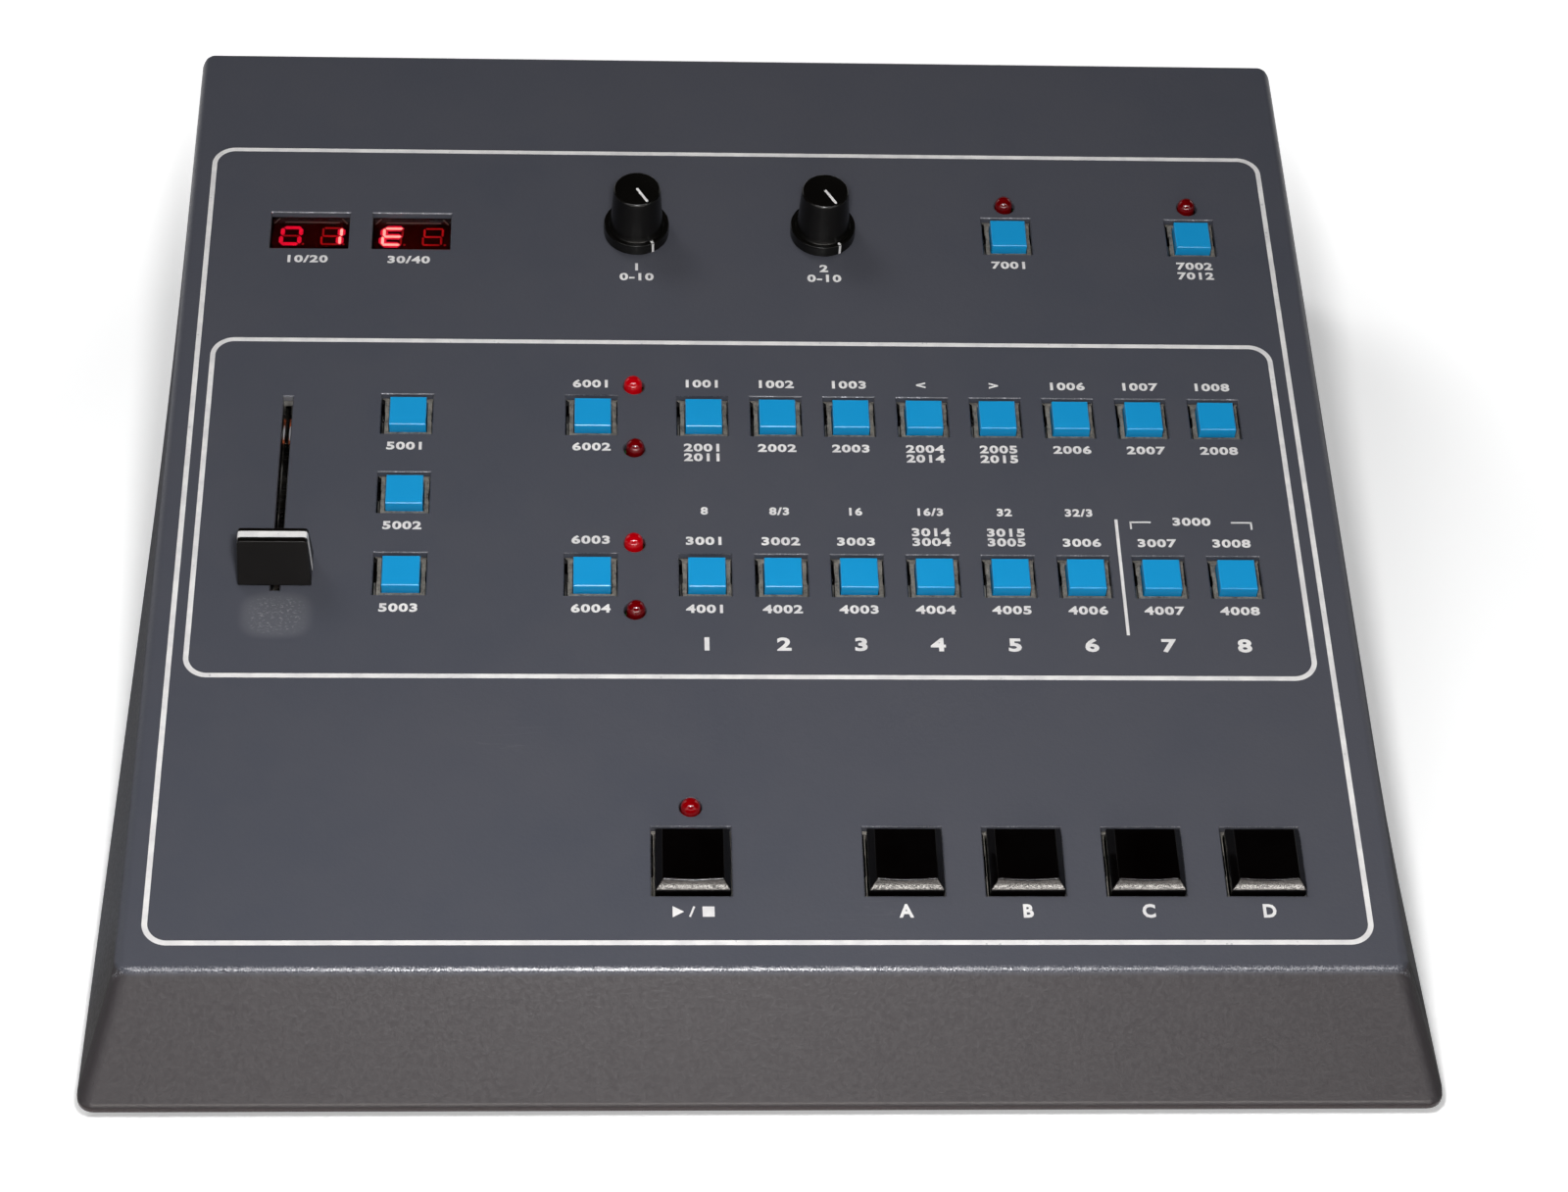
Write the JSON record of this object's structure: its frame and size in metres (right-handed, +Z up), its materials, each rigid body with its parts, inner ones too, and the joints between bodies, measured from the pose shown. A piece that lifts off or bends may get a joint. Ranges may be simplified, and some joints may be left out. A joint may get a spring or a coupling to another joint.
{
  "type": "drum machine",
  "caption": "Wedge-shaped table-top drum machine: sloping panel with push keys, pads, two knobs, a slide fader, red displays and lamps, in a case with sockets at the back.",
  "frame": {"origin": "centre of the footprint's bounding box, on the plane that the feet stand on", "axes": "+Z up, +Y towards the back with the sockets, +X to the right of someone facing the front"},
  "size_m": [0.338, 0.3376, 0.0906],
  "materials": {
    "case_paint": "fine-textured satin paint, slate grey",
    "pan_paint": "black paint",
    "foot_rubber": "matt",
    "screw_steel": "zinc plated",
    "switch_plastic": "moulded, grey-brown",
    "lamp_lens": "clear red lens",
    "display_face": "dark face with lit red segments",
    "red_filter": "deep red acrylic",
    "board_green": "solder resist",
    "spacer_brass": "turned",
    "pot_metal": "plated sheet",
    "nut_nickel": "nickel plated",
    "chip_plastic": "moulded epoxy",
    "core_iron": "varnished laminations",
    "capacitor_sleeve": "shrink sleeve",
    "ribbon_grey": "flat cable",
    "socket_plastic": "moulded black",
    "rocker_plastic": "moulded black",
    "lever_metal": "plated strip",
    "fader_plastic": "satin black with a white line",
    "knob_plastic": "satin black with white pointers",
    "shaft_metal": "turned",
    "key_blue": "moulded blue",
    "pad_black": "gloss black"
  },
  "bodies": {
    "root": {"top_cover": "case_paint", "base_pan": "pan_paint", "feet": "foot_rubber", "case_screws": "screw_steel", "key_switches": "switch_plastic", "pad_switches": "switch_plastic", "indicator_lamps": "lamp_lens", "display_modules": "display_face", "display_filter": "red_filter", "control_board": "board_green", "board_pillars": "spacer_brass", "small_screws": "screw_steel", "volume_pots": "pot_metal", "pot_nuts": "nut_nickel", "fader_body": "pot_metal", "main_board": "board_green", "main_chips": "chip_plastic", "power_transformer": "core_iron", "filter_capacitors": "capacitor_sleeve", "ribbon_cable": "ribbon_grey", "output_jacks": "socket_plastic", "jack_nuts": "nut_nickel", "power_inlet": "socket_plastic", "switch_housing": "socket_plastic"},
    "key_upper_1": {"key_upper_1": "key_blue"},
    "key_upper_2": {"key_upper_2": "key_blue"},
    "key_upper_3": {"key_upper_3": "key_blue"},
    "key_upper_4": {"key_upper_4": "key_blue"},
    "key_upper_5": {"key_upper_5": "key_blue"},
    "key_upper_6": {"key_upper_6": "key_blue"},
    "key_upper_7": {"key_upper_7": "key_blue"},
    "key_upper_8": {"key_upper_8": "key_blue"},
    "key_lower_1": {"key_lower_1": "key_blue"},
    "key_lower_2": {"key_lower_2": "key_blue"},
    "key_lower_3": {"key_lower_3": "key_blue"},
    "key_lower_4": {"key_lower_4": "key_blue"},
    "key_lower_5": {"key_lower_5": "key_blue"},
    "key_lower_6": {"key_lower_6": "key_blue"},
    "key_lower_7": {"key_lower_7": "key_blue"},
    "key_lower_8": {"key_lower_8": "key_blue"},
    "key_left_1": {"key_left_1": "key_blue"},
    "key_left_2": {"key_left_2": "key_blue"},
    "key_left_3": {"key_left_3": "key_blue"},
    "key_page_1": {"key_page_1": "key_blue"},
    "key_page_2": {"key_page_2": "key_blue"},
    "key_top_1": {"key_top_1": "key_blue"},
    "key_top_2": {"key_top_2": "key_blue"},
    "pad_start": {"pad_start": "pad_black"},
    "pad_bank_1": {"pad_bank_1": "pad_black"},
    "pad_bank_2": {"pad_bank_2": "pad_black"},
    "pad_bank_3": {"pad_bank_3": "pad_black"},
    "pad_bank_4": {"pad_bank_4": "pad_black"},
    "knob_left": {"knob_left": "knob_plastic", "shaft_left": "shaft_metal"},
    "knob_right": {"knob_right": "knob_plastic", "shaft_right": "shaft_metal"},
    "fader": {"fader_cap": "fader_plastic", "fader_carriage": "lever_metal"},
    "power_rocker": {"power_rocker": "rocker_plastic"}
  },
  "joints": [
    {"name": "key_upper_1_press", "type": "slide", "parent": "root", "child": "key_upper_1", "axis": [0, 0.1564, -0.9877], "range_m": [0, 0.0025], "stiffness_N_per_m": 300, "springref_m": -0.0015},
    {"name": "key_upper_2_press", "type": "slide", "parent": "root", "child": "key_upper_2", "axis": [0, 0.1564, -0.9877], "range_m": [0, 0.0025], "stiffness_N_per_m": 300, "springref_m": -0.0015},
    {"name": "key_upper_3_press", "type": "slide", "parent": "root", "child": "key_upper_3", "axis": [0, 0.1564, -0.9877], "range_m": [0, 0.0025], "stiffness_N_per_m": 300, "springref_m": -0.0015},
    {"name": "key_upper_4_press", "type": "slide", "parent": "root", "child": "key_upper_4", "axis": [0, 0.1564, -0.9877], "range_m": [0, 0.0025], "stiffness_N_per_m": 300, "springref_m": -0.0015},
    {"name": "key_upper_5_press", "type": "slide", "parent": "root", "child": "key_upper_5", "axis": [0, 0.1564, -0.9877], "range_m": [0, 0.0025], "stiffness_N_per_m": 300, "springref_m": -0.0015},
    {"name": "key_upper_6_press", "type": "slide", "parent": "root", "child": "key_upper_6", "axis": [0, 0.1564, -0.9877], "range_m": [0, 0.0025], "stiffness_N_per_m": 300, "springref_m": -0.0015},
    {"name": "key_upper_7_press", "type": "slide", "parent": "root", "child": "key_upper_7", "axis": [0, 0.1564, -0.9877], "range_m": [0, 0.0025], "stiffness_N_per_m": 300, "springref_m": -0.0015},
    {"name": "key_upper_8_press", "type": "slide", "parent": "root", "child": "key_upper_8", "axis": [0, 0.1564, -0.9877], "range_m": [0, 0.0025], "stiffness_N_per_m": 300, "springref_m": -0.0015},
    {"name": "key_lower_1_press", "type": "slide", "parent": "root", "child": "key_lower_1", "axis": [0, 0.1564, -0.9877], "range_m": [0, 0.0025], "stiffness_N_per_m": 300, "springref_m": -0.0015},
    {"name": "key_lower_2_press", "type": "slide", "parent": "root", "child": "key_lower_2", "axis": [0, 0.1564, -0.9877], "range_m": [0, 0.0025], "stiffness_N_per_m": 300, "springref_m": -0.0015},
    {"name": "key_lower_3_press", "type": "slide", "parent": "root", "child": "key_lower_3", "axis": [0, 0.1564, -0.9877], "range_m": [0, 0.0025], "stiffness_N_per_m": 300, "springref_m": -0.0015},
    {"name": "key_lower_4_press", "type": "slide", "parent": "root", "child": "key_lower_4", "axis": [0, 0.1564, -0.9877], "range_m": [0, 0.0025], "stiffness_N_per_m": 300, "springref_m": -0.0015},
    {"name": "key_lower_5_press", "type": "slide", "parent": "root", "child": "key_lower_5", "axis": [0, 0.1564, -0.9877], "range_m": [0, 0.0025], "stiffness_N_per_m": 300, "springref_m": -0.0015},
    {"name": "key_lower_6_press", "type": "slide", "parent": "root", "child": "key_lower_6", "axis": [0, 0.1564, -0.9877], "range_m": [0, 0.0025], "stiffness_N_per_m": 300, "springref_m": -0.0015},
    {"name": "key_lower_7_press", "type": "slide", "parent": "root", "child": "key_lower_7", "axis": [0, 0.1564, -0.9877], "range_m": [0, 0.0025], "stiffness_N_per_m": 300, "springref_m": -0.0015},
    {"name": "key_lower_8_press", "type": "slide", "parent": "root", "child": "key_lower_8", "axis": [0, 0.1564, -0.9877], "range_m": [0, 0.0025], "stiffness_N_per_m": 300, "springref_m": -0.0015},
    {"name": "key_left_1_press", "type": "slide", "parent": "root", "child": "key_left_1", "axis": [0, 0.1564, -0.9877], "range_m": [0, 0.0025], "stiffness_N_per_m": 300, "springref_m": -0.0015},
    {"name": "key_left_2_press", "type": "slide", "parent": "root", "child": "key_left_2", "axis": [0, 0.1564, -0.9877], "range_m": [0, 0.0025], "stiffness_N_per_m": 300, "springref_m": -0.0015},
    {"name": "key_left_3_press", "type": "slide", "parent": "root", "child": "key_left_3", "axis": [0, 0.1564, -0.9877], "range_m": [0, 0.0025], "stiffness_N_per_m": 300, "springref_m": -0.0015},
    {"name": "key_page_1_press", "type": "slide", "parent": "root", "child": "key_page_1", "axis": [0, 0.1564, -0.9877], "range_m": [0, 0.0025], "stiffness_N_per_m": 300, "springref_m": -0.0015},
    {"name": "key_page_2_press", "type": "slide", "parent": "root", "child": "key_page_2", "axis": [0, 0.1564, -0.9877], "range_m": [0, 0.0025], "stiffness_N_per_m": 300, "springref_m": -0.0015},
    {"name": "key_top_1_press", "type": "slide", "parent": "root", "child": "key_top_1", "axis": [0, 0.1564, -0.9877], "range_m": [0, 0.0025], "stiffness_N_per_m": 300, "springref_m": -0.0015},
    {"name": "key_top_2_press", "type": "slide", "parent": "root", "child": "key_top_2", "axis": [0, 0.1564, -0.9877], "range_m": [0, 0.0025], "stiffness_N_per_m": 300, "springref_m": -0.0015},
    {"name": "pad_start_press", "type": "slide", "parent": "root", "child": "pad_start", "axis": [0, 0.1564, -0.9877], "range_m": [0, 0.002], "stiffness_N_per_m": 400, "springref_m": -0.0015},
    {"name": "pad_bank_1_press", "type": "slide", "parent": "root", "child": "pad_bank_1", "axis": [0, 0.1564, -0.9877], "range_m": [0, 0.002], "stiffness_N_per_m": 400, "springref_m": -0.0015},
    {"name": "pad_bank_2_press", "type": "slide", "parent": "root", "child": "pad_bank_2", "axis": [0, 0.1564, -0.9877], "range_m": [0, 0.002], "stiffness_N_per_m": 400, "springref_m": -0.0015},
    {"name": "pad_bank_3_press", "type": "slide", "parent": "root", "child": "pad_bank_3", "axis": [0, 0.1564, -0.9877], "range_m": [0, 0.002], "stiffness_N_per_m": 400, "springref_m": -0.0015},
    {"name": "pad_bank_4_press", "type": "slide", "parent": "root", "child": "pad_bank_4", "axis": [0, 0.1564, -0.9877], "range_m": [0, 0.002], "stiffness_N_per_m": 400, "springref_m": -0.0015},
    {"name": "knob_left_turn", "type": "hinge", "parent": "root", "child": "knob_left", "pos_m": [-0.0313, 0.09742, 0.07169], "axis": [0, -0.1564, 0.9877], "range_deg": [0, 300]},
    {"name": "knob_right_turn", "type": "hinge", "parent": "root", "child": "knob_right", "pos_m": [0.0221, 0.09742, 0.07169], "axis": [0, -0.1564, 0.9877], "range_deg": [0, 300]},
    {"name": "fader_slide", "type": "slide", "parent": "root", "child": "fader", "axis": [0, 0.9877, 0.1564], "range_m": [-0.0027, 0.0573]},
    {"name": "power_rocker_tilt", "type": "hinge", "parent": "root", "child": "power_rocker", "pos_m": [0.058, 0.16093, 0.037], "axis": [1, 0, 0], "range_deg": [-18, 0]}
  ]
}
